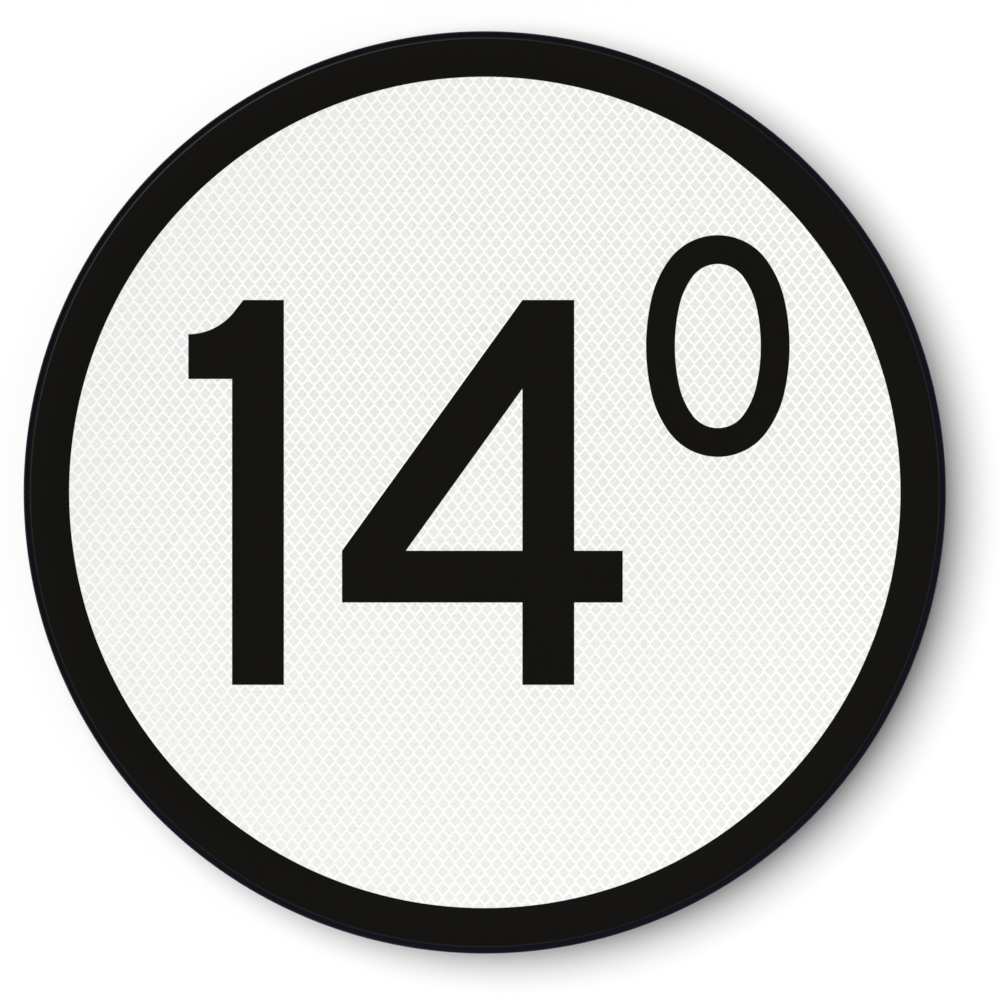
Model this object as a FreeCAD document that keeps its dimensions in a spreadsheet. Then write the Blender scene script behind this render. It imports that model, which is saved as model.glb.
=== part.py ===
import FreeCAD, Part
import math
import os
import Sketcher

# Round level crossing warning sign. An aluminium pan with a double folded edge carries white
# reflective sheeting, a black border film, black legend films and two rear mounting rails.
# Millimetres. The face looks along -Y, +Z is up, and the origin is the sign's centre.

# Driving sizes
SIZES = (
    ("sign_diameter", 600.0),  # over the films at the rim
    ("rim_depth", 20.0),  # front of the bare sheet to the back of the folded lip
    ("lip_width", 12.0),  # rim's outside to the lip's free edge
    ("sheet_thickness", 2.0),
    ("bend_radius", 2.4),  # inside of both folds
    ("sheeting_thickness", 0.4),
    ("overlay_thickness", 0.2),  # border and legend films
    ("wrap_length", 6.0),  # film on the straight rim wall, past the front fold
    ("border_width", 30.0),
    ("digit_height", 250.0),
    ("digit_stroke", 33.6),
    ("one_flag_length", 28.4),  # how far the flag reaches left of the stem
    ("one_flag_height", 29.1),  # height of the flag's blunt left end
    ("one_flag_drop", 22.2),  # top of the figure to the top of that end
    ("one_slope_length", 9.8),  # straight end of the flag's curved upper edge, at the top
    ("one_top_width", 26.3),
    ("four_width", 182.3),
    ("four_arm", 31.5),  # crossbar past the right of the stem
    ("four_bar_rise", 53.5),  # baseline to the underside of the crossbar
    ("zero_width", 93.2),
    ("zero_height", 144.0),
    ("zero_stroke", 18.7),
    ("zero_shoulder_radius", 70.0),  # arcs between the oval's ends and its sides
    ("zero_end_angle", 54.4),  # degrees that an end arc turns, each way from the oval's middle
    ("zero_side_angle", 12.7),  # the same for a side arc
    ("zero_lift", 42.1),  # top of the digits to the top of the zero
    ("one_four_gap", 37.8),
    ("four_zero_gap", 15.2),
    ("legend_shift", 2.7),  # legend's middle, right of the sign's centre
    ("rail_spacing", 300.0),  # centre to centre
    ("rail_end_gap", 20.0),  # rail's end to the lip's free edge, so that a bolt head can enter
    ("rail_projection", 2.0),  # rail's back past the back of the lip
    ("rail_flange_width", 44.0),
    ("rail_flange_thickness", 2.0),
    ("rail_wall", 2.0),
    ("rail_lip", 2.5),
    ("rail_fillet", 1.0),  # root and shoulder of the section
    ("channel_width", 14.0),  # takes an M8 hexagon head across its flats
    ("slot_width", 9.0),  # takes an M8 shank
    ("weld_count", 8),  # spot welds along each flange
    ("weld_diameter", 6.0),
    ("weld_depth", 0.25),
    ("weld_end_distance", 20.0),  # end of the rail to the first weld
)

# Sizes that follow from the driving ones
DERIVED = (
    ("films", "sizes.sheeting_thickness + sizes.overlay_thickness"),
    ("total_depth", "films + sizes.rim_depth + sizes.rail_projection"),
    ("face_y", "films - total_depth / 2"),  # front of the bare sheet in the sign's frame
    ("pan_radius", "sizes.sign_diameter / 2 - films"),
    ("bend_outside", "sizes.bend_radius + sizes.sheet_thickness"),
    ("flat_radius", "pan_radius - bend_outside"),
    ("wall_inside", "pan_radius - sizes.sheet_thickness"),
    ("back_bend", "sizes.rim_depth - bend_outside"),  # depth where the second fold begins
    ("lip_front", "sizes.rim_depth - sizes.sheet_thickness"),
    ("lip_edge", "pan_radius - sizes.lip_width"),
    ("film_end", "bend_outside + sizes.wrap_length"),
    ("field_radius", "sizes.sign_diameter / 2 - sizes.border_width"),
    ("baseline", "-sizes.digit_height / 2"),
    ("digit_top", "sizes.digit_height / 2"),
    ("one_width", "sizes.one_flag_length + sizes.digit_stroke"),
    ("digits_width", "one_width + sizes.one_four_gap + sizes.four_width"),
    ("legend_width", "digits_width + sizes.four_zero_gap + sizes.zero_width"),
    ("one_left", "sizes.legend_shift - legend_width / 2"),
    ("one_stem_left", "one_left + sizes.one_flag_length"),
    ("one_right", "one_left + one_width"),
    ("one_top_left", "one_right - sizes.one_top_width"),
    ("flag_top", "digit_top - sizes.one_flag_drop"),
    ("flag_bottom", "flag_top - sizes.one_flag_height"),
    ("flag_run", "one_top_left - one_left"),
    ("flag_slope", "2 * atan(sizes.one_flag_drop / (flag_run + sizes.one_slope_length))"),
    ("flag_bend_x", "one_top_left - sizes.one_slope_length * cos(flag_slope)"),
    ("flag_bend_z", "digit_top - sizes.one_slope_length * sin(flag_slope)"),
    ("flag_radius", "(flag_bend_x - one_left) / sin(flag_slope)"),
    ("four_left", "one_right + sizes.one_four_gap"),
    ("four_right", "four_left + sizes.four_width"),
    ("four_stem_right", "four_right - sizes.four_arm"),
    ("four_stem_left", "four_stem_right - sizes.digit_stroke"),
    ("bar_bottom", "baseline + sizes.four_bar_rise"),
    ("bar_top", "bar_bottom + sizes.digit_stroke"),
    ("slope_run", "four_stem_left - four_left"),
    ("slope_rise", "digit_top - bar_top"),
    ("slope_length", "sqrt(slope_run ^ 2 + slope_rise ^ 2)"),
    ("eye_left", "four_left + sizes.digit_stroke * slope_length / slope_rise"),
    ("eye_top", "digit_top - sizes.digit_stroke * slope_length / slope_run"),
    ("zero_half", "sizes.zero_width / 2"),
    ("zero_tall", "sizes.zero_height / 2"),
    ("zero_x", "four_right + sizes.four_zero_gap + zero_half"),
    ("zero_z", "digit_top + sizes.zero_lift - zero_tall"),
    ("end_turn", "sizes.zero_end_angle * 1 deg"),
    ("side_turn", "sizes.zero_side_angle * 1 deg"),
    ("end_rise", "1 - cos(end_turn)"),
    ("side_rise", "1 - cos(side_turn)"),
    ("turn_share", "sin(end_turn) * sin(side_turn) - end_rise * side_rise"),
    ("spare_half", "zero_half - sizes.zero_shoulder_radius"),
    ("spare_tall", "zero_tall - sizes.zero_shoulder_radius"),
    ("end_excess", "(spare_half * sin(side_turn) - spare_tall * side_rise) / turn_share"),
    ("side_excess", "(spare_tall * sin(end_turn) - spare_half * end_rise) / turn_share"),
    ("zero_end_radius", "sizes.zero_shoulder_radius + end_excess"),
    ("zero_side_radius", "sizes.zero_shoulder_radius + side_excess"),
    ("zero_end_z", "zero_tall - zero_end_radius"),  # end arc's centre, above the zero's
    ("zero_side_x", "zero_half - zero_side_radius"),  # side arc's centre, right of the zero's
    ("rail_height", "sizes.rim_depth - sizes.sheet_thickness + sizes.rail_projection"),
    ("rail_outer_edge", "sizes.rail_spacing / 2 + sizes.rail_flange_width / 2"),
    ("rail_half_length", "sqrt(lip_edge ^ 2 - rail_outer_edge ^ 2) - sizes.rail_end_gap"),
    ("channel_side", "sizes.channel_width / 2"),
    ("rail_side", "channel_side + sizes.rail_wall"),
    ("rail_lip_front", "rail_height - sizes.rail_lip"),
    ("weld_reach", "rail_half_length - sizes.weld_end_distance"),
    ("weld_offset", "(rail_side + sizes.rail_flange_width / 2) / 2"),
)


def add_sheet(doc, title, rows, prefix):
    sheet = doc.addObject("Spreadsheet::Sheet", title)
    for row, (name, value) in enumerate(rows, start=1):
        sheet.set(f"A{row}", name)
        sheet.set(f"B{row}", f"{prefix}{value}")
        sheet.setAlias(f"B{row}", name)
    doc.recompute()
    return sheet


def add_body(doc, node):
    body = doc.addObject("PartDesign::Body", node)
    body.Label = node
    body.setExpression("Placement.Base.y", "derived.face_y")
    return body


def add_sketch(body, title, plane_role, lift="0"):
    plane = next(item for item in body.Origin.OriginFeatures if item.Role == plane_role)
    sketch = body.newObject("Sketcher::SketchObject", title)
    sketch.AttachmentSupport = [(plane, "")]
    sketch.MapMode = "FlatFace"
    sketch.setExpression("AttachmentOffset.Base.z", lift)
    return sketch


def bind(sketch, constraint, formula, title):
    index = sketch.addConstraint(constraint)
    sketch.renameConstraint(index, title)
    sketch.setExpression(f"Constraints.{title}", formula)


def arc_centre(start, finish, radius, turn):
    chord = finish - start
    height = math.sqrt(radius ** 2 - chord.Length ** 2 / 4)
    left = FreeCAD.Vector(-chord.y, chord.x, 0).normalize()
    side = 1 if turn == "left" else -1
    return start + chord / 2 + left * height * side


def add_edge(sketch, start, finish, bend):
    # Returns the new edge with the vertex numbers of its start and finish.
    if bend is None:
        return sketch.addGeometry(Part.LineSegment(start, finish)), 1, 2
    turn, formula = bend
    radius = sketch.evalExpression(formula)
    centre = arc_centre(start, finish, radius, turn)
    first, last = (start, finish) if turn == "left" else (finish, start)
    angles = [math.atan2(spot.y - centre.y, spot.x - centre.x) for spot in (first, last)]
    circle = Part.Circle(centre, FreeCAD.Vector(0, 0, 1), radius)
    edge = sketch.addGeometry(Part.ArcOfCircle(circle, *angles))
    return (edge, 1, 2) if turn == "left" else (edge, 2, 1)


def draw_outline(sketch, title, corners):
    # Each corner is (x formula, y formula), or (x, y, turn, radius) where the edge that leaves it
    # is an arc that turns left or right. The last edge returns to the first corner.
    spots = [FreeCAD.Vector(*(sketch.evalExpression(text) for text in corner[:2])) for corner in corners]
    edges = []
    for number, corner in enumerate(corners):
        bend = corner[2:] or None
        finish = spots[(number + 1) % len(spots)]
        edges.append(add_edge(sketch, spots[number], finish, bend))
    for number, (edge, start, finish) in enumerate(edges):
        following, following_start, _ = edges[(number + 1) % len(edges)]
        sketch.addConstraint(Sketcher.Constraint("Coincident", edge, finish, following, following_start))
        corner = corners[number]
        for axis, value, formula in zip("XY", spots[number], corner):
            along = Sketcher.Constraint(f"Distance{axis}", -1, 1, edge, start, value)
            bind(sketch, along, formula, f"{title}_{axis.lower()}{number}")
        if len(corner) > 2:
            bend = Sketcher.Constraint("Radius", edge, sketch.evalExpression(corner[3]))
            bind(sketch, bend, corner[3], f"{title}_radius{number}")


def draw_circle(sketch, title, x, y, radius):
    centre = FreeCAD.Vector(sketch.evalExpression(x), sketch.evalExpression(y), 0)
    size = sketch.evalExpression(radius)
    circle = sketch.addGeometry(Part.Circle(centre, FreeCAD.Vector(0, 0, 1), size))
    bind(sketch, Sketcher.Constraint("DistanceX", -1, 1, circle, 3, centre.x), x, f"{title}_x")
    bind(sketch, Sketcher.Constraint("DistanceY", -1, 1, circle, 3, centre.y), y, f"{title}_y")
    bind(sketch, Sketcher.Constraint("Radius", circle, size), radius, f"{title}_radius")


def revolve(body, corners):
    # The section is drawn with x as the radius and y as the depth behind the bare sheet's front.
    sketch = add_sketch(body, f"{body.Label}_section", "XY_Plane")
    draw_outline(sketch, "section", corners)
    turned = body.newObject("PartDesign::Revolution", f"{body.Label}_turned")
    turned.Profile = sketch
    turned.ReferenceAxis = (sketch, ["V_Axis"])
    turned.Angle = 360
    sketch.Visibility = False


def make_pan(doc):
    body = add_body(doc, "sign_pan")
    revolve(body, (
        ("0", "0"),
        ("derived.flat_radius", "0", "left", "derived.bend_outside"),
        ("derived.pan_radius", "derived.bend_outside"),
        ("derived.pan_radius", "derived.back_bend", "left", "derived.bend_outside"),
        ("derived.flat_radius", "sizes.rim_depth"),
        ("derived.lip_edge", "sizes.rim_depth"),
        ("derived.lip_edge", "derived.lip_front"),
        ("derived.flat_radius", "derived.lip_front", "right", "sizes.bend_radius"),
        ("derived.wall_inside", "derived.back_bend"),
        ("derived.wall_inside", "derived.bend_outside", "right", "sizes.bend_radius"),
        ("derived.flat_radius", "sizes.sheet_thickness"),
        ("0", "sizes.sheet_thickness"),
    ))
    return body


def make_wrapped_film(doc, node, inner_radius, under, over):
    # A film on the face that follows the front fold on to the rim wall. under and over are the
    # heights of its two faces above the bare sheet.
    body = add_body(doc, node)
    outside = f"derived.pan_radius + {over}"
    inside = f"derived.pan_radius + {under}"
    revolve(body, (
        (inner_radius, f"-({over})"),
        ("derived.flat_radius", f"-({over})", "left", f"derived.bend_outside + {over}"),
        (outside, "derived.bend_outside"),
        (outside, "derived.film_end"),
        (inside, "derived.film_end"),
        (inside, "derived.bend_outside", "right", f"derived.bend_outside + {under}"),
        ("derived.flat_radius", f"-({under})"),
        (inner_radius, f"-({under})"),
    ))
    return body


def make_figure(doc, node, outlines):
    # A flat film figure that lies on the sheeting.
    body = add_body(doc, node)
    sketch = add_sketch(body, f"{node}_outline", "XZ_Plane", "sizes.sheeting_thickness")
    for title, corners in outlines.items():
        draw_outline(sketch, title, corners)
    pad = body.newObject("PartDesign::Pad", f"{node}_film")
    pad.Profile = sketch
    pad.setExpression("Length", "sizes.overlay_thickness")
    sketch.Visibility = False
    return body


def make_one(doc):
    return make_figure(doc, "numeral_one", {"outside": (
        ("derived.one_stem_left", "derived.baseline"),
        ("derived.one_right", "derived.baseline"),
        ("derived.one_right", "derived.digit_top"),
        ("derived.one_top_left", "derived.digit_top"),
        ("derived.flag_bend_x", "derived.flag_bend_z", "right", "derived.flag_radius"),
        ("derived.one_left", "derived.flag_top"),
        ("derived.one_left", "derived.flag_bottom"),
        ("derived.one_stem_left", "derived.flag_bottom"),
    )})


def make_four(doc):
    outside = (
        ("derived.four_stem_left", "derived.baseline"),
        ("derived.four_stem_right", "derived.baseline"),
        ("derived.four_stem_right", "derived.bar_bottom"),
        ("derived.four_right", "derived.bar_bottom"),
        ("derived.four_right", "derived.bar_top"),
        ("derived.four_stem_right", "derived.bar_top"),
        ("derived.four_stem_right", "derived.digit_top"),
        ("derived.four_stem_left", "derived.digit_top"),
        ("derived.four_left", "derived.bar_top"),
        ("derived.four_left", "derived.bar_bottom"),
        ("derived.four_stem_left", "derived.bar_bottom"),
    )
    eye = (
        ("derived.eye_left", "derived.bar_top"),
        ("derived.four_stem_left", "derived.bar_top"),
        ("derived.four_stem_left", "derived.eye_top"),
    )
    return make_figure(doc, "numeral_four", {"outside": outside, "eye": eye})


def oval(inset):
    # The zero's outline, moved in by inset: end, shoulder and side arcs on common tangents.
    end = f"derived.zero_end_radius - {inset}"
    shoulder = f"sizes.zero_shoulder_radius - {inset}"
    side = f"derived.zero_side_radius - {inset}"
    end_x = f"({end}) * sin(derived.end_turn)"
    end_z = f"(derived.zero_end_z + ({end}) * cos(derived.end_turn))"
    side_x = f"(derived.zero_side_x + ({side}) * cos(derived.side_turn))"
    side_z = f"({side}) * sin(derived.side_turn)"
    across, up = "derived.zero_x", "derived.zero_z"
    return (
        (f"{across} + {end_x}", f"{up} + {end_z}", "left", end),
        (f"{across} - {end_x}", f"{up} + {end_z}", "left", shoulder),
        (f"{across} - {side_x}", f"{up} + {side_z}", "left", side),
        (f"{across} - {side_x}", f"{up} - {side_z}", "left", shoulder),
        (f"{across} - {end_x}", f"{up} - {end_z}", "left", end),
        (f"{across} + {end_x}", f"{up} - {end_z}", "left", shoulder),
        (f"{across} + {side_x}", f"{up} - {side_z}", "left", side),
        (f"{across} + {side_x}", f"{up} + {side_z}", "left", shoulder),
    )


def make_zero(doc):
    outlines = {"outside": oval("0"), "eye": oval("sizes.zero_stroke")}
    return make_figure(doc, "superscript_zero", outlines)


def rail_section():
    # One half of the C-section from the flange's tip to the slot, then its mirror image.
    half = (
        ("0", "sizes.rail_flange_width / 2"),
        ("sizes.rail_flange_thickness", "sizes.rail_flange_width / 2"),
        ("sizes.rail_flange_thickness", "derived.rail_side"),
        ("derived.rail_height", "derived.rail_side"),
        ("derived.rail_height", "sizes.slot_width / 2"),
        ("derived.rail_lip_front", "sizes.slot_width / 2"),
        ("derived.rail_lip_front", "derived.channel_side"),
        ("sizes.rail_flange_thickness", "derived.channel_side"),
    )
    mirrored = tuple((depth, f"-({height})") for depth, height in reversed(half))
    return half + mirrored


def rail_fillet_edges(pad):
    # Long edges at the root and the shoulder of each side wall.
    side = pad.evalExpression("derived.rail_side")
    root = pad.evalExpression("sizes.rail_flange_thickness")
    shoulder = pad.evalExpression("derived.rail_height")
    found = []
    for number, edge in enumerate(pad.Shape.Edges, start=1):
        start, finish = (vertex.Point for vertex in edge.Vertexes)
        runs_along = math.isclose(start.y, finish.y) and math.isclose(start.z, finish.z)
        at_side = math.isclose(abs(start.z), side, abs_tol=1e-6)
        at_depth = any(math.isclose(start.y, depth, abs_tol=1e-6) for depth in (root, shoulder))
        if runs_along and at_side and at_depth:
            found.append(f"Edge{number}")
    return found


def make_rail(doc, node, side):
    body = add_body(doc, node)
    body.setExpression("Placement.Base.y", "derived.face_y + sizes.sheet_thickness")
    body.setExpression("Placement.Base.z", f"{side} * sizes.rail_spacing / 2")
    section = add_sketch(body, f"{node}_section", "YZ_Plane")
    draw_outline(section, "section", rail_section())
    pad = body.newObject("PartDesign::Pad", f"{node}_extrusion")
    pad.Profile = section
    pad.SideType = "Symmetric"
    pad.setExpression("Length", "2 * derived.rail_half_length")
    doc.recompute()

    fillet = body.newObject("PartDesign::Fillet", f"{node}_fillet")
    fillet.Base = (pad, rail_fillet_edges(pad))
    fillet.setExpression("Radius", "sizes.rail_fillet")
    doc.recompute()

    # Spot weld dimples, pressed into the back of both flanges.
    marks = add_sketch(body, f"{node}_welds", "XZ_Plane", "-sizes.rail_flange_thickness")
    draw_circle(marks, "upper", "-derived.weld_reach", "derived.weld_offset", "sizes.weld_diameter / 2")
    draw_circle(marks, "lower", "-derived.weld_reach", "-derived.weld_offset", "sizes.weld_diameter / 2")
    dimple = body.newObject("PartDesign::Pocket", f"{node}_dimple")
    dimple.Profile = marks
    dimple.Reversed = True
    dimple.setExpression("Length", "sizes.weld_depth")
    doc.recompute()

    row = body.newObject("PartDesign::LinearPattern", f"{node}_weld_row")
    row.Originals = [dimple]
    row.Direction = (marks, ["H_Axis"])
    row.setExpression("Length", "2 * derived.weld_reach")
    row.setExpression("Occurrences", "sizes.weld_count")
    body.Tip = row
    section.Visibility = False
    marks.Visibility = False
    return body


def check(doc, bodies):
    for item in doc.Objects:
        if "Invalid" in item.State or "Error" in item.State:
            raise RuntimeError(f"{item.Label} failed: {item.State}")
    for body in bodies:
        if body.Shape.isNull() or not body.Shape.isValid():
            raise RuntimeError(f"{body.Label} has no valid shape")


def main():
    doc = FreeCAD.newDocument("level_crossing_warning_sign")
    add_sheet(doc, "sizes", SIZES, "")
    add_sheet(doc, "derived", DERIVED, "=")
    sheeting = "sizes.sheeting_thickness"
    bodies = [
        make_pan(doc),
        make_wrapped_film(doc, "reflective_sheeting", "0", "0", sheeting),
        make_wrapped_film(doc, "border_ring", "derived.field_radius", sheeting, "derived.films"),
        make_one(doc),
        make_four(doc),
        make_zero(doc),
        make_rail(doc, "upper_rail", "1"),
        make_rail(doc, "lower_rail", "-1"),
    ]
    doc.recompute()
    check(doc, bodies)
    os.makedirs("parts", exist_ok=True)
    for body in bodies:
        body.Shape.exportStep(f"parts/{body.Label}.step")
        print(f"{body.Label}: {body.Shape.Volume / 1000:.2f} cm3")


main()
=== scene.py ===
import math
import random

import bmesh
import bpy
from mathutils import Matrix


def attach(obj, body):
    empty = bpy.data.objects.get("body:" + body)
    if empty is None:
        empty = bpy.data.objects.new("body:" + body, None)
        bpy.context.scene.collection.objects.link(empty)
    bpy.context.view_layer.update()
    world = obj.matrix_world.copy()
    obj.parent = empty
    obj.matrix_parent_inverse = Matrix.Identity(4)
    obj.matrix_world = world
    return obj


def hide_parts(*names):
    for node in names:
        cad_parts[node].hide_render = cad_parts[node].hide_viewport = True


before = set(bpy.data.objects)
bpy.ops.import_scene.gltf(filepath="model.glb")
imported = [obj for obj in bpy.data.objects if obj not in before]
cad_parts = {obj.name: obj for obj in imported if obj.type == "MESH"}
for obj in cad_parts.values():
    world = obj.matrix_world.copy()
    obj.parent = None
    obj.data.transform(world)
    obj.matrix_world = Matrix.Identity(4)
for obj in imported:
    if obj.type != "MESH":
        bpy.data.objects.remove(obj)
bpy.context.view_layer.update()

scene = bpy.context.scene
mm = 0.001
turn = 2 * math.pi
noiseSpan = (0.3, 0.7)   # where nearly all of a noise lies
beforeBend = 0.5         # mm from a flat's last ring of points to its bend
sharpFrom = 30.0         # degrees, the least angle of a crisp edge


def addNode(tree, kind, **values):
    node = tree.nodes.new(kind)
    for name, value in values.items():
        setattr(node, name, value)
    return node


def setInput(tree, node, name, value):
    if isinstance(value, bpy.types.NodeSocket):
        tree.links.new(value, node.inputs[name])
    else:
        node.inputs[name].default_value = value


def calc(tree, operation, *numbers, clamp=False):
    node = addNode(tree, "ShaderNodeMath", operation=operation, use_clamp=clamp)
    for i, number in enumerate(numbers):
        setInput(tree, node, i, number)
    return node.outputs[0]


def plus(tree, a, b):
    return calc(tree, "ADD", a, b)


def minus(tree, a, b):
    return calc(tree, "SUBTRACT", a, b)


def times(tree, a, b):
    return calc(tree, "MULTIPLY", a, b)


def unsigned(tree, a):
    return calc(tree, "ABSOLUTE", a)


def inMm(tree, metres):
    return times(tree, metres, 1000.0)


def mapRange(tree, value, fromLow, fromHigh, toLow=0.0, toHigh=1.0, smooth=False):
    kind = "SMOOTHSTEP" if smooth else "LINEAR"
    node = addNode(tree, "ShaderNodeMapRange", interpolation_type=kind)
    for i, number in enumerate((value, fromLow, fromHigh, toLow, toHigh)):
        setInput(tree, node, i, number)
    return node.outputs[0]


def mixColour(tree, amount, a, b):
    node = addNode(tree, "ShaderNodeMix", data_type="RGBA", clamp_factor=True)
    for i, value in ((0, amount), (6, a), (7, b)):   # 6 and 7 are the colour sockets
        setInput(tree, node, i, value)
    return node.outputs[2]


def mixNumber(tree, amount, a, b):
    node = addNode(tree, "ShaderNodeMix", data_type="FLOAT")
    for i, value in ((0, amount), (2, a), (3, b)):   # 2 and 3 are the number sockets
        setInput(tree, node, i, value)
    return node.outputs[0]


def mixShaders(tree, output, amount, a, b):
    mix = addNode(tree, "ShaderNodeMixShader")
    for i, socket in enumerate((amount, a.outputs[0], b.outputs[0])):
        tree.links.new(socket, mix.inputs[i])
    tree.links.new(mix.outputs[0], addNode(tree, output).inputs["Surface"])


def noise(tree, vector, scale, detail=2.0, rough=0.5, distort=0.0):
    node = addNode(tree, "ShaderNodeTexNoise", noise_dimensions="3D")
    setInput(tree, node, "Vector", vector)
    setInput(tree, node, "Scale", scale)
    setInput(tree, node, "Detail", detail)
    setInput(tree, node, "Roughness", rough)
    setInput(tree, node, "Distortion", distort)
    return node.outputs["Fac"]


def scaled(tree, vector, factors, turnedBy=(0.0, 0.0, 0.0)):
    node = addNode(tree, "ShaderNodeMapping")
    setInput(tree, node, "Vector", vector)
    setInput(tree, node, "Scale", factors)
    setInput(tree, node, "Rotation", turnedBy)
    return node.outputs["Vector"]


def axesOf(tree, vector):
    node = addNode(tree, "ShaderNodeSeparateXYZ")
    tree.links.new(vector, node.inputs[0])
    return node.outputs


def partCoords(tree):
    return addNode(tree, "ShaderNodeTexCoord").outputs["Object"]


def bump(tree, height, strength, distance):
    node = addNode(tree, "ShaderNodeBump")
    setInput(tree, node, "Strength", strength)
    setInput(tree, node, "Distance", distance)
    setInput(tree, node, "Height", height)
    return node.outputs["Normal"]


def newGroup(name, inputs, outputs):
    tree = bpy.data.node_groups.new(name, "ShaderNodeTree")
    for label, default in inputs:
        socket = tree.interface.new_socket(name=label, in_out="INPUT", socket_type="NodeSocketFloat")
        socket.default_value = default
    for label in outputs:
        tree.interface.new_socket(name=label, in_out="OUTPUT", socket_type="NodeSocketFloat")
    given, made = tree.nodes.new("NodeGroupInput"), tree.nodes.new("NodeGroupOutput")
    return tree, given.outputs, made.inputs


def useGroup(tree, group, **values):
    node = addNode(tree, "ShaderNodeGroup", node_tree=group)
    for name, value in values.items():
        setInput(tree, node, name.replace("_", " "), value)
    return node.outputs


def newMaterial(name):
    mat = bpy.data.materials.new(name)
    mat.use_nodes = True
    tree = mat.node_tree
    return mat, tree, tree.nodes["Principled BSDF"].inputs


photoView = {
    "lens": 200.0,             # mm
    "sensor": 36.0,            # mm across
    "frameWidth": 650.44,      # mm of the sign's plane across the picture
    "lookAt": (9.89, -4.94),   # mm right of and above the sign's axis at the picture's middle
    "rimDepth": -6.3,          # mm, where the sign is widest
    "clip": (0.05, 60.0),      # m
}


def makeCamera(v):
    data = bpy.data.cameras.new("photoCamera")
    data.lens = v["lens"]
    data.sensor_width = v["sensor"]
    data.clip_start, data.clip_end = v["clip"]
    camera = bpy.data.objects.new("photoCamera", data)
    distance = v["frameWidth"] * v["lens"] / v["sensor"]
    right, up = v["lookAt"]
    camera.location = (right * mm, (v["rimDepth"] - distance) * mm, up * mm)
    camera.rotation_euler = (math.pi / 2, 0, 0)  # straight along +Y
    scene.collection.objects.link(camera)
    scene.camera = camera


studio = {
    "keyPower": 3.08,
    "keyFrom": (-0.40, -1.0, 0.20),    # the soft key stands to the left, a little above
    "keySoftness": 54.0,               # degrees across
    "floorPower": 2.0,
    "floorFrom": (0.0, 0.0, 4.0),      # m, straight above
    "floorSoftness": 50.0,             # degrees across
    "ambient": 0.25,
    "roomFront": 0.20,                 # what gloss sees before the sign
    "roomBehind": (0.58, 0.80, 1.0),   # and behind it: floor, wall, ceiling
    "behindFrom": (0.10, 0.72),        # share of the way back over which the one becomes the other
    "floorToWall": (-0.75, 0.05),      # heights over which the floor becomes the wall
    "wallToCeiling": (0.05, 0.80),
    "panels": (0.30, 1.85),            # dark cloths and soft boxes, as shares of the room behind
    "panelScale": 3.6,
    "panelStretch": (1.0, 1.0, 0.45),
    "panelEdge": (0.34, 0.66),
    "panelLimit": 0.95,                # the brightest that gloss sees
    "background": 0.93,
    "backgroundColour": (1.0, 1.0, 0.99, 1),
    "wallColour": (0.945, 0.945, 0.94, 1),
    "wallDepth": 29.0,                 # mm behind the sign's middle
    "floorColour": (0.86, 0.86, 0.85, 1),
    "floorHeight": -420.0,             # mm
    "reach": (6.0, 9.0, 5.0),          # m, half width, half depth and height of floor and wall
    "edgeOnFade": (0.90, 0.975),       # seen edge-on, they melt into the background
    "stripLights": (
        # place (m), size (m), power (W): these draw the edges of the bare metal at the back
        ((0.0, 2.5, 2.5), (3.0, 0.7), 8.0),
        ((1.8, 3.1, 1.4), (0.9, 2.4), 6.0),
        ((-2.1, 2.8, 0.5), (0.6, 2.6), 2.5),
    ),
}


def addLamp(name, kind, place, energy):
    data = bpy.data.lights.new(name, kind)
    data.energy = energy
    lamp = bpy.data.objects.new(name, data)
    lamp.location = place
    lamp.rotation_euler = (-lamp.location).to_track_quat("-Z", "Y").to_euler()  # at the sign's middle
    lamp.visible_camera = False
    scene.collection.objects.link(lamp)
    return lamp


def firstBounceOnly(tree, path):
    # 0 for light that the metal would throw on the wall
    return calc(tree, "LESS_THAN", path["Diffuse Depth"], 0.5)


def makeStrips(v):
    strips = []
    for i, (place, size, power) in enumerate(v["stripLights"]):
        lamp = addLamp(f"stripLight{i}", "AREA", place, power)
        lamp.data.shape = "RECTANGLE"
        lamp.data.size, lamp.data.size_y = size
        lamp.data.use_nodes = True
        tree = lamp.data.node_tree
        direct = firstBounceOnly(tree, addNode(tree, "ShaderNodeLightPath").outputs)
        tree.links.new(direct, tree.nodes["Emission"].inputs["Strength"])
        strips.append(lamp)
    return strips


def makeLights(v):
    key = addLamp("keyLight", "SUN", v["keyFrom"], v["keyPower"])
    key.data.angle = math.radians(v["keySoftness"])
    key.visible_glossy = False  # the key models the shape, and the gloss is left to the room
    overhead = addLamp("floorLight", "SUN", v["floorFrom"], v["floorPower"])
    overhead.data.angle = math.radians(v["floorSoftness"])
    return overhead


def lightOnly(lamp, pieces):
    lit = bpy.data.collections.new(lamp.name + "Lit")
    for piece in pieces:
        lit.objects.link(piece)
    lamp.light_linking.receiver_collection = lit


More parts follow.
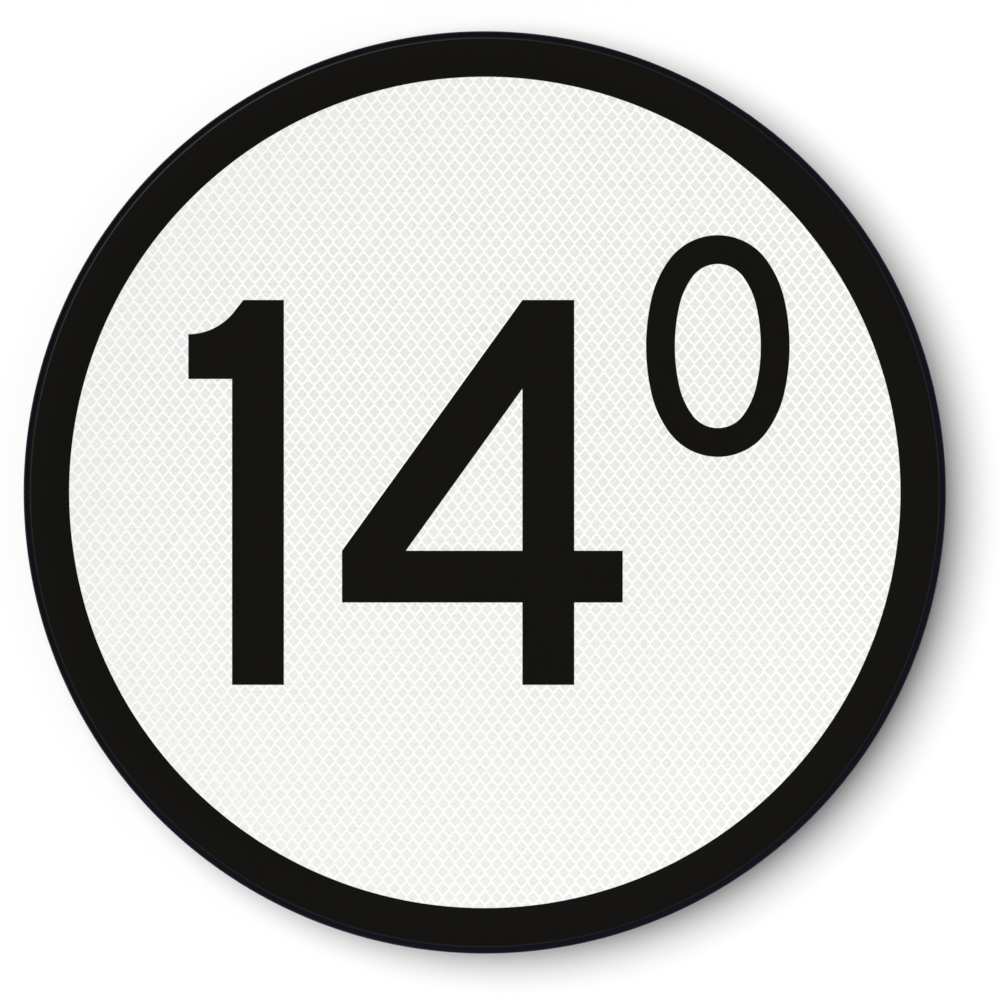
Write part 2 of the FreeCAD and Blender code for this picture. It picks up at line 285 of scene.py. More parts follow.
def makeWorld(v):
    world = bpy.data.worlds.new("room")
    world.use_nodes = True
    tree = world.node_tree
    tree.nodes.clear()
    path = addNode(tree, "ShaderNodeLightPath").outputs
    direction = addNode(tree, "ShaderNodeTexCoord").outputs["Generated"]
    way = axesOf(tree, direction)
    # gloss sees an even room before the sign, and behind it a dim floor, a grey wall
    # and a bright ceiling, broken up by cloths and soft boxes
    floor, wall, ceiling = v["roomBehind"]
    below = mapRange(tree, way["Z"], *v["floorToWall"], floor, wall, smooth=True)
    above = mapRange(tree, way["Z"], *v["wallToCeiling"], 0.0, ceiling - wall, smooth=True)
    panels = noise(tree, scaled(tree, direction, v["panelStretch"]), v["panelScale"], 1.0)
    panels = mapRange(tree, panels, *v["panelEdge"], *v["panels"], smooth=True)
    behind = times(tree, plus(tree, below, above), panels)
    behind = calc(tree, "MINIMUM", behind, v["panelLimit"])
    isBehind = mapRange(tree, way["Y"], *v["behindFrom"], smooth=True)
    gloss = mixNumber(tree, isBehind, v["roomFront"], behind)
    gloss = times(tree, gloss, firstBounceOnly(tree, path))
    room = addNode(tree, "ShaderNodeBackground")
    setInput(tree, room, "Strength", mixNumber(tree, path["Is Glossy Ray"], v["ambient"], gloss))
    seen = addNode(tree, "ShaderNodeBackground")
    setInput(tree, seen, "Color", v["backgroundColour"])
    setInput(tree, seen, "Strength", v["background"])
    mixShaders(tree, "ShaderNodeOutputWorld", path["Is Camera Ray"], room, seen)
    scene.world = world


def stagePlane(name, corners, material):
    mesh = bpy.data.meshes.new(name)
    mesh.from_pydata(corners, [], [(0, 1, 2, 3)])
    mesh.materials.append(material)
    plane = bpy.data.objects.new(name, mesh)
    plane.visible_shadow = False   # it takes the sign's shadow, and gives no light back
    plane.visible_glossy = False
    plane.visible_diffuse = False
    scene.collection.objects.link(plane)
    return plane


def stageMaterial(name, colour, edgeOnFade):
    mat = bpy.data.materials.new(name)
    mat.use_nodes = True
    tree = mat.node_tree
    tree.nodes.clear()
    paint = addNode(tree, "ShaderNodeBsdfDiffuse")
    setInput(tree, paint, "Color", colour)
    clear = addNode(tree, "ShaderNodeBsdfTransparent")
    fromBehind = addNode(tree, "ShaderNodeNewGeometry").outputs["Backfacing"]
    lean = addNode(tree, "ShaderNodeLayerWeight").outputs["Facing"]
    gone = calc(tree, "MAXIMUM", fromBehind, mapRange(tree, lean, *edgeOnFade, smooth=True))
    mixShaders(tree, "ShaderNodeOutputMaterial", gone, paint, clear)
    return mat


def makeStage(v):
    y = v["wallDepth"] * mm
    z = v["floorHeight"] * mm
    wide, deep, tall = v["reach"]
    floor = stagePlane("paleFloor", [(-wide, -deep, z), (wide, -deep, z), (wide, deep, z), (-wide, deep, z)],
                       stageMaterial("floorPaint", v["floorColour"], v["edgeOnFade"]))
    stagePlane("paleWall", [(-wide, y, z), (wide, y, z), (wide, y, tall), (-wide, y, tall)],
               stageMaterial("wallPaint", v["wallColour"], v["edgeOnFade"]))
    return floor


makeCamera(photoView)
floorLight = makeLights(studio)
makeWorld(studio)
lightOnly(floorLight, [makeStage(studio)])
scene.view_settings.view_transform = "Standard"
scene.view_settings.look = "None"
print("studio: camera, lights, wall and floor")


sharedEffects = {
    "fineStretch": (0.012, 1.0, 1.0),    # a streak's width against its length along X
    "broadStretch": (0.02, 1.0, 1.0),
    "scratches": ((0.5, 9.0), (-0.9, 13.0), (1.9, 7.0), (0.15, 11.0)),   # radians, and size per m
    "scratchStretch": (1.0, 1.0, 0.25),
    "scratchWidth": 0.0016,
    "scratchGaps": 2.1,                  # size of the gaps in a scratch, against its own
    "scratchEnds": (0.57, 0.68),
    "smudgeEdge": (0.47, 0.66),
    "glossEdge": (0.35, 0.65),
}


def makeDrawnLines(v):
    # long streaks along X, as rolling leaves in sheet and a die leaves in an extrusion
    tree, given, made = newGroup("drawnLines", (("Fine", 700.0), ("Broad", 90.0)), ("Streak", "Band"))
    place = partCoords(tree)
    fine = noise(tree, scaled(tree, place, v["fineStretch"]), given["Fine"], 1.0, 0.6)
    broad = noise(tree, scaled(tree, place, v["broadStretch"]), given["Broad"], 2.0, 0.55)
    tree.links.new(mapRange(tree, fine, *noiseSpan), made["Streak"])
    tree.links.new(mapRange(tree, broad, *noiseSpan), made["Band"])
    return tree


def makeHandling(v):
    # fine scratches from stacking, and the dull patches that hands and dust leave
    tree, given, made = newGroup("handling", (("Scratch Amount", 0.5), ("Smudge Size", 14.0)),
                                 ("Scratch", "Smudge"))
    place = partCoords(tree)
    scratch = 0.0
    for angle, scale in v["scratches"]:
        turned = scaled(tree, place, v["scratchStretch"], (0.0, angle, 0.0))
        near = unsigned(tree, minus(tree, noise(tree, turned, scale, 1.0, 0.4, 0.2), 0.5))
        thin = mapRange(tree, near, 0.0, v["scratchWidth"], 1.0, 0.0)
        broken = mapRange(tree, noise(tree, place, scale * v["scratchGaps"]), *v["scratchEnds"])
        scratch = calc(tree, "MAXIMUM", scratch, times(tree, thin, broken))
    tree.links.new(times(tree, scratch, given["Scratch Amount"]), made["Scratch"])
    patch = noise(tree, place, given["Smudge Size"], 5.0, 0.66, 0.6)
    tree.links.new(mapRange(tree, patch, *v["smudgeEdge"], smooth=True), made["Smudge"])
    return tree


def makeFilmSkin(v):
    # the faint orange peel and uneven gloss of a film rolled on by hand
    tree, given, made = newGroup("filmSkin", (("Peel Size", 520.0), ("Gloss Size", 22.0)), ("Peel", "Gloss"))
    place = partCoords(tree)
    tree.links.new(noise(tree, place, given["Peel Size"]), made["Peel"])
    gloss = noise(tree, place, given["Gloss Size"], 3.0, 0.55)
    tree.links.new(mapRange(tree, gloss, *v["glossEdge"]), made["Gloss"])
    return tree


def makeRoundPlace():
    # radius and angle about the sign's axis
    tree, _, made = newGroup("roundPlace", (), ("Radius mm", "Turn"))
    place = axesOf(tree, partCoords(tree))
    x, z = place["X"], place["Z"]
    square = plus(tree, times(tree, x, x), times(tree, z, z))
    tree.links.new(inMm(tree, calc(tree, "SQRT", square)), made["Radius mm"])
    tree.links.new(calc(tree, "ARCTAN2", z, x), made["Turn"])
    return tree


drawnLines = makeDrawnLines(sharedEffects)
handling = makeHandling(sharedEffects)
filmSkin = makeFilmSkin(sharedEffects)
roundPlace = makeRoundPlace()


blackLook = {
    "flat": (0.0056, 0.0052, 0.0045, 1),
    "fold": (0.0033, 0.0027, 0.0055, 1),        # painted bluish sheen on the fold, darkened on the upper left against the key's light
    "foldBlue": (0.0085, 0.0077, 0.0203, 1),    # painted light on the fold, bluer and brighter at the lower right against the key's shade
    "foldFrom": (295.2, 298.0),                 # mm from the axis
    "paintedFoldLightTurn": -0.6,                             # radians from +X, where the painted light on the fold is strongest
    # painted highlight along the start of the bend
    "paintedCreaseHighlight": (0.053, 0.053, 0.053, 1),
    "paintedHighlightRadius": 295.15,                     # mm
    "paintedHighlightHalf": (0.15, 0.55),                 # mm to either side, full and then fading out
    "paintedHighlightBrightest": 2.22,                     # radians, the painted highlight is brightest at the upper left, on the key's side
    "paintedHighlightFocus": 8.0,                         # how soon it fades round the rim
    "paintedHighlightStrength": (0.2, 0.75),                 # least and most
    "paintedHighlightUneven": (0.75, 1.25),
    "unevenSize": 6.0,                          # per m
    "wallFrom": (-7.0, -6.0),                   # mm, depth where the film turns on to the rim's wall
    "wallRoughness": 0.2,
    "specular": 0.08,
    "roughness": (0.27, 0.34),
    "peelSize": 480.0, "glossSize": 18.0,       # per m
    "peelStrength": 0.06, "peelHeight": 0.1,    # mm
}


def towards(tree, angle, at, power):
    # 1 at one angle round the sign, falling to 0 on the far side
    wave = calc(tree, "COSINE", minus(tree, angle, at))
    return calc(tree, "POWER", mapRange(tree, wave, -1.0, 1.0), power)


def makeBlackFilm(v):
    mat, tree, skin = newMaterial("blackFilm")
    around = useGroup(tree, roundPlace)
    film = useGroup(tree, filmSkin, Peel_Size=v["peelSize"], Gloss_Size=v["glossSize"])
    # painted sheen on the fold: dark on the upper left, lighter and bluer at the lower right, against the key
    fold = mixColour(tree, towards(tree, around["Turn"], v["paintedFoldLightTurn"], 1.0), v["fold"], v["foldBlue"])
    onFold = mapRange(tree, around["Radius mm"], *v["foldFrom"], smooth=True)
    colour = mixColour(tree, onFold, v["flat"], fold)
    # painted highlight along the crease, brightest at the upper left and uneven along its length
    off = unsigned(tree, minus(tree, around["Radius mm"], v["paintedHighlightRadius"]))
    paintedCreaseHighlight = mapRange(tree, off, *v["paintedHighlightHalf"], 1.0, 0.0, smooth=True)
    uneven = noise(tree, partCoords(tree), v["unevenSize"])
    uneven = mapRange(tree, uneven, *noiseSpan, *v["paintedHighlightUneven"])
    clear = towards(tree, around["Turn"], v["paintedHighlightBrightest"], v["paintedHighlightFocus"])
    clear = mapRange(tree, clear, 0.0, 1.0, *v["paintedHighlightStrength"])
    paintedCreaseHighlight = times(tree, paintedCreaseHighlight, times(tree, uneven, clear))
    tree.links.new(mixColour(tree, paintedCreaseHighlight, colour, v["paintedCreaseHighlight"]), skin["Base Color"])
    tree.links.new(mapRange(tree, film["Gloss"], 0.0, 1.0, *v["roughness"]), skin["Roughness"])
    tree.links.new(bump(tree, film["Peel"], v["peelStrength"], v["peelHeight"] * mm), skin["Normal"])
    depth = axesOf(tree, partCoords(tree))["Y"]
    onWall = mapRange(tree, depth, *(y * mm for y in v["wallFrom"]), smooth=True)
    tree.links.new(onWall, skin["Coat Weight"])   # stretched tight, the film is glossier on the wall
    skin["Coat Roughness"].default_value = v["wallRoughness"]
    skin["Specular IOR Level"].default_value = v["specular"]
    return mat


whiteLook = {
    "seal": (0.938, 0.936, 0.920, 1),
    "sealWorn": (0.891, 0.889, 0.874, 1),
    "sealRoughness": (0.36, 0.44),
    "sealPeelSize": 620.0, "sealGlossSize": 30.0,     # per m
    "sealPeelStrength": 0.08, "sealPeelHeight": 0.1,  # mm
    "cell": (0.832, 0.832, 0.820, 1),
    "cellDull": (0.638, 0.638, 0.630, 1),
    "cellRoughness": (0.30, 0.38),
    "cellPeelSize": 640.0, "cellGlossSize": 9.0,      # per m
    "leastDull": 0.095,
    "paleMiddle": 0.09,             # how much paler a cell is in its middle
    "middleFrom": (0.3, 0.95),      # from a cell's edge, 0, to its middle, 1
    "cellSpread": 0.11,             # how much the cells differ from one another
    "mottle": 1.5,
    "paintedLightFrom": (0.10, -0.28),    # m, painted light: the cells grow brighter from the upper height to the lower
    "paintedLightBy": 0.26,
    "specular": 0.3,
}


def makeSealWhite(v):
    mat, tree, skin = newMaterial("sealWhite")
    film = useGroup(tree, filmSkin, Peel_Size=v["sealPeelSize"], Gloss_Size=v["sealGlossSize"])
    worn = mapRange(tree, film["Peel"], *noiseSpan)
    tree.links.new(mixColour(tree, worn, v["seal"], v["sealWorn"]), skin["Base Color"])
    tree.links.new(mapRange(tree, film["Gloss"], 0.0, 1.0, *v["sealRoughness"]), skin["Roughness"])
    peel = bump(tree, film["Peel"], v["sealPeelStrength"], v["sealPeelHeight"] * mm)
    tree.links.new(peel, skin["Normal"])
    skin["Specular IOR Level"].default_value = v["specular"]
    return mat


def makePrismCell(v):
    mat, tree, skin = newMaterial("prismCell")
    film = useGroup(tree, filmSkin, Peel_Size=v["cellPeelSize"], Gloss_Size=v["cellGlossSize"])
    tone = addNode(tree, "ShaderNodeAttribute", attribute_name="cellTone").outputs["Fac"]
    middle = addNode(tree, "ShaderNodeAttribute", attribute_name="cellMiddle").outputs["Fac"]
    height = axesOf(tree, partCoords(tree))["Z"]
    # painted light: the cells are duller towards the top and brighter towards the bottom
    high, low = v["paintedLightFrom"]
    mostDull = v["leastDull"] + v["paintedLightBy"]
    dull = mapRange(tree, height, low, high, v["leastDull"], mostDull, smooth=True)
    dull = plus(tree, dull, times(tree, tone, v["cellSpread"]))
    dull = plus(tree, dull, times(tree, minus(tree, film["Peel"], 0.5), v["mottle"]))
    pale = mapRange(tree, middle, *v["middleFrom"], 0.0, v["paleMiddle"], smooth=True)
    dull = calc(tree, "SUBTRACT", dull, pale, clamp=True)
    tree.links.new(mixColour(tree, dull, v["cell"], v["cellDull"]), skin["Base Color"])
    tree.links.new(mapRange(tree, film["Gloss"], 0.0, 1.0, *v["cellRoughness"]), skin["Roughness"])
    skin["Specular IOR Level"].default_value = v["specular"]
    return mat


def metalShade(tree, streak, band, smudge, shares):
    fine, broad, dull = (times(tree, part, share) for part, share in zip((streak, band, smudge), shares))
    return plus(tree, plus(tree, fine, broad), dull)


panLook = {
    "bright": (0.88, 0.885, 0.89, 1),
    "dull": (0.72, 0.725, 0.735, 1),
    "scratch": (0.95, 0.95, 0.96, 1),
    "grimeAndShadeLine": (0.30, 0.30, 0.31, 1),       # painted contact shade and grime, a dark line where a rail's flange meets the sheet
    "grimeAndShadeGap": (0.3, 1.7),               # mm from the flange, full and then fading out
    "grimeAndShadeAmount": 0.75,
    "flange": (210.249, 22.0, 150.0),    # mm, half length, half width and height of each rail's flange
    "fine": 230.0, "broad": 52.0,        # rolling lines per m
    "scratches": 0.7, "smudgeSize": 13.0,
    "shares": (0.42, 0.30, 0.20),        # of fine lines, broad lines and smudges
    "shadeSpan": (0.1, 0.9),
    "rimFrom": (293.5, 295.5),           # mm from the axis
    "dragStretch": (0.8, 60.0, 0.06),    # round the rim, through its depth and outwards
    "dragSize": 26.0,
    "evenBand": 0.5,                     # the rim has no broad lines
    "roughness": (0.20, 0.40),
    "grain": 0.003,                      # mm high
    "dents": 0.5,                        # mm, how far the sheet is from flat
    "dentSize": 6.0,                     # per m
}


def makePanAluminium(v):
    mat, tree, skin = newMaterial("panAluminium")
    lines = useGroup(tree, drawnLines, Fine=v["fine"], Broad=v["broad"])
    worn = useGroup(tree, handling, Scratch_Amount=v["scratches"], Smudge_Size=v["smudgeSize"])
    around = useGroup(tree, roundPlace)
    place = axesOf(tree, partCoords(tree))
    # the press drags the wall of the rim, so its lines run round the edge instead of across the sheet
    dragged = addNode(tree, "ShaderNodeCombineXYZ")
    ways = (around["Turn"], place["Y"], around["Radius mm"])
    for i, (way, stretch) in enumerate(zip(ways, v["dragStretch"])):
        tree.links.new(times(tree, way, stretch), dragged.inputs[i])
    drag = mapRange(tree, noise(tree, dragged.outputs[0], v["dragSize"], 3.0, 0.6), *noiseSpan)
    onRim = mapRange(tree, around["Radius mm"], *v["rimFrom"], smooth=True)
    streak = mixNumber(tree, onRim, lines["Streak"], drag)
    band = mixNumber(tree, onRim, lines["Band"], v["evenBand"])
    shade = metalShade(tree, streak, band, worn["Smudge"], v["shares"])
    colour = mixColour(tree, shade, v["bright"], v["dull"])
    colour = mixColour(tree, worn["Scratch"], colour, v["scratch"])
    # painted contact shade and grime round each rail's flange
    halfLong, halfWide, railAt = v["flange"]
    endGap = minus(tree, inMm(tree, unsigned(tree, place["X"])), halfLong)
    fromRail = minus(tree, inMm(tree, unsigned(tree, place["Z"])), railAt)
    sideGap = minus(tree, unsigned(tree, fromRail), halfWide)
    gap = calc(tree, "MAXIMUM", endGap, sideGap)
    grimeAndShadeLine = mapRange(tree, gap, *v["grimeAndShadeGap"], v["grimeAndShadeAmount"], 0.0, smooth=True)
    tree.links.new(mixColour(tree, grimeAndShadeLine, colour, v["grimeAndShadeLine"]), skin["Base Color"])
    tree.links.new(mapRange(tree, shade, *v["shadeSpan"], *v["roughness"]), skin["Roughness"])
    skin["Metallic"].default_value = 1.0
    wave = times(tree, noise(tree, partCoords(tree), v["dentSize"], 1.0, 0.4), v["dents"])
    grain = times(tree, minus(tree, streak, worn["Scratch"]), v["grain"])
    tree.links.new(bump(tree, plus(tree, wave, grain), 1.0, mm), skin["Normal"])
    return mat


railLook = {
    "bright": (0.76, 0.765, 0.77, 1),
    "dull": (0.60, 0.605, 0.615, 1),
    "scratch": (0.86, 0.86, 0.87, 1),
    "smut": (0.24, 0.24, 0.245, 1),      # grey soot that the electrodes leave round a weld
    "smutAmount": 0.55,
    "weldFace": (0.80, 0.80, 0.80, 1),
    "weldFaceAmount": 0.85,
    "sawn": (0.84, 0.84, 0.85, 1),
    "inside": (0.34, 0.34, 0.35, 1),     # painted shade darkening the channel's inside
    "channelShadeAmount": 0.8,
    "fine": 800.0, "broad": 240.0,       # die lines per m
    "scratches": 0.5, "smudgeSize": 21.0,
    "shares": (0.45, 0.35, 0.20),        # of fine lines, broad lines and smudges
    "shadeSpan": (0.1, 0.9),
    "roughness": (0.26, 0.42),
    "dirtRoughness": 0.14,               # what soot and the channel's inside add
    "grain": 0.003,                      # mm high
    "railHeight": 150.0,                 # mm from the sign's middle to each rail's middle
    "channelHalf": (6.9, 7.2),           # mm, where the inside ends to either side
    "channelBack": (8.6, 9.0),           # mm, and at the back
    "flangeBack": (-6.2, -5.8),          # mm, welds are only on the flanges
    "weldOffset": 15.5,                  # mm from the rail's middle to each row of welds
    "weldFirst": -190.249,
    "weldPitch": 54.357,
    "weldEdge": (2.3, 2.7),              # mm from a weld's middle
    "smutEdge": (2.9, 5.6),
    "ragged": 3.0, "raggedSize": 300.0,  # mm, and per m
    "sawnFrom": (0.95, 0.99),            # how squarely an end faces along the rail
    "bladeSize": 330.0, "bladeWander": 2.0,
}


def makeRailAluminium(v):
    mat, tree, skin = newMaterial("railAluminium")
    lines = useGroup(tree, drawnLines, Fine=v["fine"], Broad=v["broad"])
    worn = useGroup(tree, handling, Scratch_Amount=v["scratches"], Smudge_Size=v["smudgeSize"])
    place = axesOf(tree, partCoords(tree))
    x, y, z = (inMm(tree, place[axis]) for axis in "XYZ")
    across = unsigned(tree, minus(tree, unsigned(tree, z), v["railHeight"]))
    # distance to the nearest weld
    along = calc(tree, "DIVIDE", minus(tree, x, v["weldFirst"]), v["weldPitch"])
    dx = times(tree, minus(tree, along, calc(tree, "ROUND", along)), v["weldPitch"])
    dz = minus(tree, across, v["weldOffset"])
    far = calc(tree, "SQRT", plus(tree, times(tree, dx, dx), times(tree, dz, dz)))
    ragged = minus(tree, noise(tree, partCoords(tree), v["raggedSize"], 3.0, 0.6), 0.5)
    raggedFar = plus(tree, far, times(tree, ragged, v["ragged"]))
    onFlange = mapRange(tree, y, *v["flangeBack"], 1.0, 0.0)
    soot = times(tree, mapRange(tree, raggedFar, *v["smutEdge"], 1.0, 0.0, smooth=True), onFlange)
    pressed = times(tree, mapRange(tree, far, *v["weldEdge"], 1.0, 0.0), onFlange)
    inside = times(tree, mapRange(tree, across, *v["channelHalf"], 1.0, 0.0),
                   mapRange(tree, y, *v["channelBack"], 1.0, 0.0))
    shade = metalShade(tree, lines["Streak"], lines["Band"], worn["Smudge"], v["shares"])
    colour = mixColour(tree, shade, v["bright"], v["dull"])
    colour = mixColour(tree, worn["Scratch"], colour, v["scratch"])
    colour = mixColour(tree, times(tree, soot, v["smutAmount"]), colour, v["smut"])
    colour = mixColour(tree, times(tree, pressed, v["weldFaceAmount"]), colour, v["weldFace"])
    # painted shade inside the channel
    colour = mixColour(tree, times(tree, inside, v["channelShadeAmount"]), colour, v["inside"])
    # the sawn ends are brighter, with the blade's arcs across them
    facing = axesOf(tree, addNode(tree, "ShaderNodeNewGeometry").outputs["Normal"])
    sawn = mapRange(tree, unsigned(tree, facing["X"]), *v["sawnFrom"])
    blade = addNode(tree, "ShaderNodeTexWave", wave_type="RINGS", rings_direction="X")
    setInput(tree, blade, "Scale", v["bladeSize"])
    setInput(tree, blade, "Distortion", v["bladeWander"])
    setInput(tree, blade, "Vector", scaled(tree, partCoords(tree), (0.0, 1.0, 1.0)))
    arcs = blade.outputs["Fac"]
    colour = mixColour(tree, sawn, colour, mixColour(tree, arcs, v["sawn"], v["bright"]))
    tree.links.new(colour, skin["Base Color"])
    rough = mapRange(tree, shade, *v["shadeSpan"], *v["roughness"])
    rough = plus(tree, rough, times(tree, calc(tree, "MAXIMUM", soot, inside), v["dirtRoughness"]))
    tree.links.new(rough, skin["Roughness"])
    skin["Metallic"].default_value = 1.0
    height = plus(tree, lines["Streak"], times(tree, arcs, sawn))
    height = times(tree, minus(tree, height, worn["Scratch"]), v["grain"])
    tree.links.new(bump(tree, height, 1.0, mm), skin["Normal"])
    return mat


blackFilm = makeBlackFilm(blackLook)
sealWhite = makeSealWhite(whiteLook)
prismCell = makePrismCell(whiteLook)
panAluminium = makePanAluminium(panLook)
railAluminium = makeRailAluminium(railLook)
print("finishes: black film, seal white, prism cell, pan aluminium, rail aluminium")


def makePiece(name, points, faces, material, slot):
    mesh = bpy.data.meshes.new(name)
    mesh.from_pydata([(x * mm, y * mm, z * mm) for x, y, z in points], [], faces)
    work = bmesh.new()
    work.from_mesh(mesh)
    bmesh.ops.recalc_face_normals(work, faces=work.faces)
    work.to_mesh(mesh)
    work.free()
    mesh.polygons.foreach_set("use_smooth", [True] * len(mesh.polygons))
    mesh.set_sharp_from_angle(angle=math.radians(sharpFrom))
    mesh.materials.append(material)
    piece = bpy.data.objects.new(name, mesh)
    scene.collection.objects.link(piece)
    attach(piece, "root")
    return piece


def lathe(profile, steps, closed):
    # turns (radius, depth) points about the sign's axis; a radius of 0 is one point
    points, rings, faces = [], [], []
    for radius, depth in profile:
        if radius == 0:
            rings.append([len(points)] * steps)
            points.append((0.0, depth, 0.0))
            continue
        rings.append(list(range(len(points), len(points) + steps)))
        for i in range(steps):
            a = turn * i / steps
            points.append((radius * math.cos(a), depth, radius * math.sin(a)))
    for one, two in zip(rings, rings[1:] + rings[:1] if closed else rings[1:]):
        for i in range(steps):
            j = (i + 1) % steps
            corners = [one[i], one[j], two[j], two[i]]
            faces.append(tuple(dict.fromkeys(corners)))   # a corner that comes twice makes a triangle
    return points, faces


def arc(radius, depth, size, start, end, steps):
    # points of an arc about (radius, depth), angles in degrees from outward towards the back
    out = []
    for i in range(steps + 1):
        a = math.radians(start + (end - start) * i / steps)
        out.append((radius + size * math.cos(a), depth + size * math.sin(a)))
    return out


pan = {   # mm
    "flatRadius": 295.0, "lipRadius": 287.4, "front": -10.7, "back": 9.3, "sheet": 2.0,
    "bendOutside": 4.4, "bendInside": 2.4, "edgeRound": 0.45,
    "frontRings": (0, 150.0), "backRings": (240.0, 150.0, 60.0, 0),
    "steps": 360, "outsideSteps": 10, "insideSteps": 8, "edgeSteps": 4,
}


def makePan(v):
    flat, outside, inside = v["flatRadius"], v["bendOutside"], v["bendInside"]
    flatEnd = flat - beforeBend
    frontBend, backBend = v["front"] + outside, v["back"] - outside
    e, t = v["edgeRound"], v["sheet"]
    lipEdge = v["lipRadius"] + e
    profile = [(r, v["front"]) for r in (*v["frontRings"], flatEnd)]
    profile += arc(flat, frontBend, outside, -90, 0, v["outsideSteps"])
    profile += arc(flat, backBend, outside, 0, 90, v["outsideSteps"])
    profile += [(flatEnd, v["back"])]
    profile += arc(lipEdge, v["back"] - e, e, 90, 180, v["edgeSteps"])   # cut edge of the lip, dressed smooth
    profile += arc(lipEdge, v["back"] - t + e, e, 180, 270, v["edgeSteps"])
    profile += [(flatEnd, v["back"] - t)]
    profile += arc(flat, backBend, inside, 90, 0, v["insideSteps"])
    profile += arc(flat, frontBend, inside, 0, -90, v["insideSteps"])
    profile += [(r, v["front"] + t) for r in (flatEnd, *v["backRings"])]
    piece = makePiece("sign_pan_folded", *lathe(profile, v["steps"], False), panAluminium, "bare_aluminium")
    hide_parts("sign_pan")
    return piece


sheeting = {   # mm
    "radius": 299.8, "flatRadius": 295.0, "front": -11.1, "back": -10.7, "film": 0.4,
    "wrapEnd": -0.3, "bendCentre": -6.3, "bendOutside": 4.8, "bendInside": 4.4,
    "frontRings": (0, 90.0, 180.0), "backRings": (150.0, 0),
    "steps": 360, "bendSteps": 10,
    "cellRelief": 0.04,            # how far the cells stand above the seal lines
    "plainFrom": 277.0,            # the cells end under the ring
    "plainRamp": 0.2,
    "cellWide": 7.836, "cellTall": 11.046, "tilt": -0.46,   # pitch, and degrees
    "cellHalf": (3.45, 3.85),      # from a cell's middle to its side and upper corners
    "cornerCut": 0.075,            # share of a cell's side that each blunt corner takes
    "firstCell": (81.57, 122.67), "cellsTo": 273.0,
    "seed": 7,
}


def makeSheeting(v):
    low = v["front"] + v["cellRelief"]
    flat = v["flatRadius"]
    flatEnd = flat - beforeBend
    profile = [(r, low) for r in (*v["frontRings"], v["plainFrom"])]
    profile += [(v["plainFrom"] + v["plainRamp"], v["front"]), (flatEnd, v["front"])]
    profile += arc(flat, v["bendCentre"], v["bendOutside"], -90, 0, v["bendSteps"])
    profile += [(v["radius"], v["wrapEnd"]), (v["radius"] - v["film"], v["wrapEnd"])]
    profile += arc(flat, v["bendCentre"], v["bendInside"], 0, -90, v["bendSteps"])
    profile += [(r, v["back"]) for r in (flatEnd, *v["backRings"])]
    piece = makePiece("reflective_film", *lathe(profile, v["steps"], False), sealWhite, "white_sheeting")
    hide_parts("reflective_sheeting")


def cellOutline(v, c, s):
    a, b = v["cellHalf"]
    corners = [(a, 0.0), (0.0, b), (-a, 0.0), (0.0, -b)]
    outline = []
    for (x1, z1), (x2, z2) in zip(corners, corners[1:] + corners[:1]):
        for share in (v["cornerCut"], 1 - v["cornerCut"]):
            x, z = x1 + (x2 - x1) * share, z1 + (z2 - z1) * share
            outline.append((x * c - z * s, x * s + z * c))
    return outline


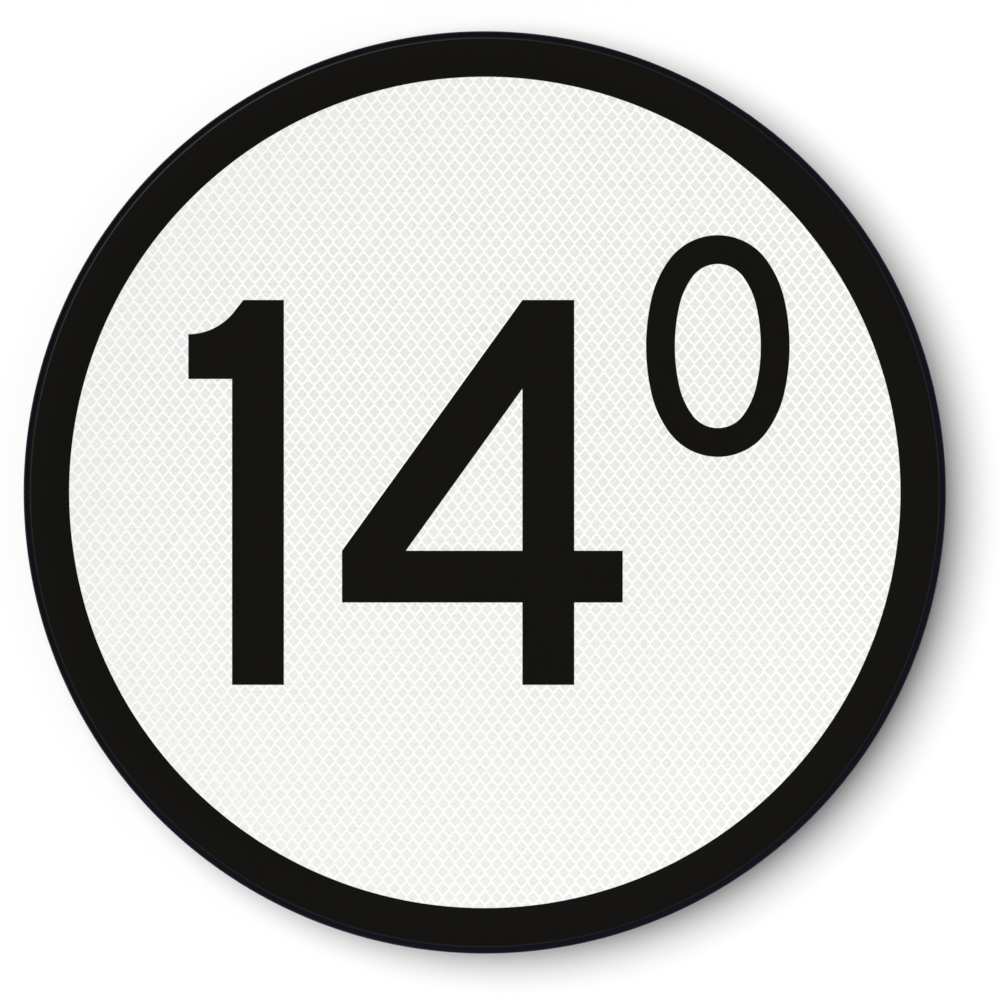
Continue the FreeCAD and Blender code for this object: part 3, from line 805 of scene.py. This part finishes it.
def makeCells(v):
    rnd = random.Random(v["seed"])
    c, s = math.cos(math.radians(v["tilt"])), math.sin(math.radians(v["tilt"]))
    outline = cellOutline(v, c, s)
    wide = (v["cellWide"] / 2 * c, v["cellWide"] / 2 * s)
    tall = (-v["cellTall"] / 2 * s, v["cellTall"] / 2 * c)
    top, base = v["front"], v["front"] + v["cellRelief"]
    points, faces, tones, middles = [], [], [], []
    n = len(outline)
    reach = int(4 * v["cellsTo"] / min(v["cellWide"], v["cellTall"]))
    for i in range(-reach, reach + 1):
        for j in range(-reach, reach + 1):
            if (i + j) % 2:   # every second half pitch is empty
                continue
            x = v["firstCell"][0] + i * wide[0] + j * tall[0]
            z = v["firstCell"][1] + i * wide[1] + j * tall[1]
            if math.hypot(x, z) > v["cellsTo"]:
                continue
            k = len(points)
            points += [(x + dx, top, z + dz) for dx, dz in outline]
            points += [(x + dx, base, z + dz) for dx, dz in outline]
            points.append((x, top, z))
            for p in range(n):
                faces.append((k + p, k + (p + 1) % n, k + 2 * n))
            for p in range(n):
                q = (p + 1) % n
                faces.append((k + p, k + q, k + n + q, k + n + p))
            faces.append(tuple(reversed(range(k + n, k + 2 * n))))
            tones += [rnd.random()] * (2 * n + 1)
            middles += [0.0] * (2 * n) + [1.0]
    piece = makePiece("prism_cells", points, faces, prismCell, "white_sheeting")
    piece.data.attributes.new("cellTone", "FLOAT", "FACE").data.foreach_set("value", tones)
    piece.data.attributes.new("cellMiddle", "FLOAT", "POINT").data.foreach_set("value", middles)
    print("sheeting:", len(tones) // (2 * n + 1), "cells")


ring = {   # mm
    "inner": 270.0, "radius": 300.0, "flatRadius": 295.0, "front": -11.3, "back": -11.1, "film": 0.2,
    "wrapEnd": -0.3, "bendCentre": -6.3, "bendOutside": 5.0, "bendInside": 4.8, "edgeRound": 0.06,
    "steps": 360, "bendSteps": 16, "edgeSteps": 3,
}


def makeRing(v):
    e, flat = v["edgeRound"], v["flatRadius"]
    profile = arc(v["inner"] + e, v["front"] + e, e, 180, 270, v["edgeSteps"])
    profile += [(flat - beforeBend, v["front"])]
    profile += arc(flat, v["bendCentre"], v["bendOutside"], -90, 0, v["bendSteps"])
    profile += [(v["radius"], v["wrapEnd"]), (v["radius"] - v["film"], v["wrapEnd"])]
    profile += arc(flat, v["bendCentre"], v["bendInside"], 0, -90, v["bendSteps"])
    profile += [(v["inner"], v["back"])]
    piece = makePiece("border_ring_film", *lathe(profile, v["steps"], True), blackFilm, "black_film")
    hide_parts("border_ring")


panPiece = makePan(pan)
makeSheeting(sheeting)
makeCells(sheeting)
makeRing(ring)

solidFinishes = {
    "numeral_one": blackFilm, "numeral_four": blackFilm, "superscript_zero": blackFilm,
    "upper_rail": railAluminium, "lower_rail": railAluminium,
}
for name, finish in solidFinishes.items():
    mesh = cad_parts[name].data
    mesh.materials.clear()
    mesh.materials.append(finish)
for strip in makeStrips(studio):  # the films keep the light that the photograph has
    lightOnly(strip, [panPiece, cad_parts["upper_rail"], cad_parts["lower_rail"]])
print("pieces: pan, film, cells, ring; figures and rails finished")

bpy.context.view_layer.update()
